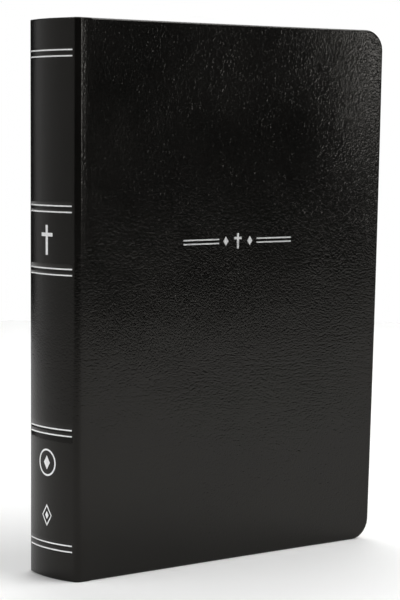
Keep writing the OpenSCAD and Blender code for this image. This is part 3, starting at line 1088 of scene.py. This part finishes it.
def make_floor():
    """Round pale table top."""
    mesh = bpy.data.meshes.new("floor")
    turns = [2 * math.pi * k / 96 for k in range(96)]
    rim = [(FLOOR_R * math.cos(t), FLOOR_R * math.sin(t), 0) for t in turns]
    mesh.from_pydata(rim, [], [list(range(96))])
    material = bpy.data.materials.new("floor")
    material.use_nodes = True
    bsdf = material.node_tree.nodes["Principled BSDF"]
    bsdf.inputs["Base Color"].default_value = rgb(0.87, 0.87, 0.865)
    bsdf.inputs["Roughness"].default_value = 0.8
    bsdf.inputs["Specular IOR Level"].default_value = 0.2
    mesh.materials.append(material)
    floor = bpy.data.objects.new("floor", mesh)
    bpy.context.scene.collection.objects.link(floor)


class World:
    """Light from all round: a dim base and a few soft patches in given directions."""

    def __init__(self, base):
        world = bpy.data.worlds.new("studio")
        bpy.context.scene.world = world
        world.use_nodes = True
        self.tree = world.node_tree
        self.tree.nodes.clear()
        self.place = self.tree.nodes.new("ShaderNodeTexCoord").outputs["Generated"]
        start = self.tree.nodes.new("ShaderNodeValue")
        start.outputs[0].default_value = base
        self.level = start.outputs[0]

    def patch(self, direction, inner_deg, outer_deg, strength):
        """Adds light that is full inside inner_deg of a direction and gone beyond outer_deg."""
        dot = self.tree.nodes.new("ShaderNodeVectorMath")
        dot.operation = "DOT_PRODUCT"
        dot.inputs[1].default_value = Vector(direction).normalized()
        self.tree.links.new(self.place, dot.inputs[0])
        ramp = self.tree.nodes.new("ShaderNodeMapRange")
        ramp.interpolation_type = "SMOOTHSTEP"
        ramp.inputs["From Min"].default_value = math.cos(math.radians(outer_deg))
        ramp.inputs["From Max"].default_value = math.cos(math.radians(inner_deg))
        ramp.inputs["To Max"].default_value = strength
        self.tree.links.new(dot.outputs["Value"], ramp.inputs["Value"])
        total = self.tree.nodes.new("ShaderNodeMath")
        self.tree.links.new(self.level, total.inputs[0])
        self.tree.links.new(ramp.outputs["Result"], total.inputs[1])
        self.level = total.outputs[0]

    def finish(self, seen_strength):
        """Lights the scene with the patches, and shows the camera plain white."""
        lit = self.tree.nodes.new("ShaderNodeBackground")
        lit.inputs["Color"].default_value = rgb(1, 1, 1)
        self.tree.links.new(self.level, lit.inputs["Strength"])
        seen = self.tree.nodes.new("ShaderNodeBackground")
        seen.inputs["Color"].default_value = rgb(1, 1, 1)
        seen.inputs["Strength"].default_value = seen_strength
        path = self.tree.nodes.new("ShaderNodeLightPath")
        mix = self.tree.nodes.new("ShaderNodeMixShader")
        output = self.tree.nodes.new("ShaderNodeOutputWorld")
        self.tree.links.new(path.outputs["Is Camera Ray"], mix.inputs[0])
        self.tree.links.new(lit.outputs[0], mix.inputs[1])
        self.tree.links.new(seen.outputs[0], mix.inputs[2])
        self.tree.links.new(mix.outputs[0], output.inputs["Surface"])


def make_studio():
    """Floor, world and lights."""
    make_floor()
    world = World(0.03)
    world.patch((-0.82, 0.57, 0.1), 34, 52, 0.56)
    world.patch((1, 0.7, 0.1), 20, 55, 0.28)
    world.patch((0, 0, 1), 20, 60, 0.3)
    world.finish(1.0)
    for name, x, y, power in SOFT_BOXES:
        add_area_light(name, (x, y, BOX_HEIGHT), (x, y, 0), (1.0, 1.0), power)
    add_area_light("side_strip", (0.97, -2.085, 0.40), (0.05, 0, 0.2), (0.13, 0.5), 3.0)
    bpy.context.scene.view_settings.view_transform = "Standard"


# ---------------------------------------------------------------- build

make_camera()
make_studio()

LEATHER = leather()
EDGES = leaf_edges("leaf_edges")
PRINTED = printed_page()
MAPS = map_page()
ENDPAPER = blank_paper("endpaper", (0.80, 0.77, 0.69), (0.74, 0.70, 0.60))
BOARD_TONES = ((0.46, 0.38, 0.27), (0.34, 0.27, 0.18))
BOARD = card("board", *BOARD_TONES)

for side in (FRONT, BACK):
    cover_leather(side, LEATHER)
    make_cover_layers(side, BOARD, ENDPAPER)
spine_leather(LEATHER)
make_spine_foil(foil("foil_bright", (0.97, 0.97, 0.97), (0.86, 0.86, 0.87), 0.30))
# The front ornament gets the same silver foil made darker: painted shade for the weaker light on the cover's
# face.
make_front_ornament(foil("foil_painted_shade", (0.72, 0.72, 0.72), (0.55, 0.55, 0.55), 0.34))

for side in (FRONT, BACK):
    name = SIDE_NAMES[side]
    make_pages(f"{name}_flyleaf_paper", f"{name}_flyleaf", f"{name}_flyleaf", PAGE_BEND["flyleaf"],
               EDGES, ENDPAPER, bundles=1)
make_pages("front_matter_leaves", "front_matter_pages", "front_matter", PAGE_BEND["outer"],
           EDGES, PRINTED)
make_pages("map_leaves", "map_pages", "maps", PAGE_BEND["outer"], EDGES, MAPS)
for half in ("front", "rear"):
    for k in range(1, 5):
        node = f"{half}_pages_{k}"
        make_pages(f"{half}_leaves_{k}", node, node, PAGE_BEND["section"], EDGES, PRINTED)
make_pages("center_leaves", "center_pages", "spine", 0, EDGES, PRINTED)

THREAD = band_thread()
make_band("headband", "head_band", True, THREAD)
make_band("tailband", "tail_band", False, THREAD)

cover_cad("spine_inlay", card("inlay_card", *BOARD_TONES, on_cad=True))
cover_cad("spine_liner", card("liner_paper", (0.56, 0.44, 0.27), (0.44, 0.33, 0.19), on_cad=True))
cover_cad("mull_cloth", woven_cloth())
cover_cad("spine_glue", dried_glue())
cover_cad("signature_folds", leaf_edges("fold_paper", on_cad=True))
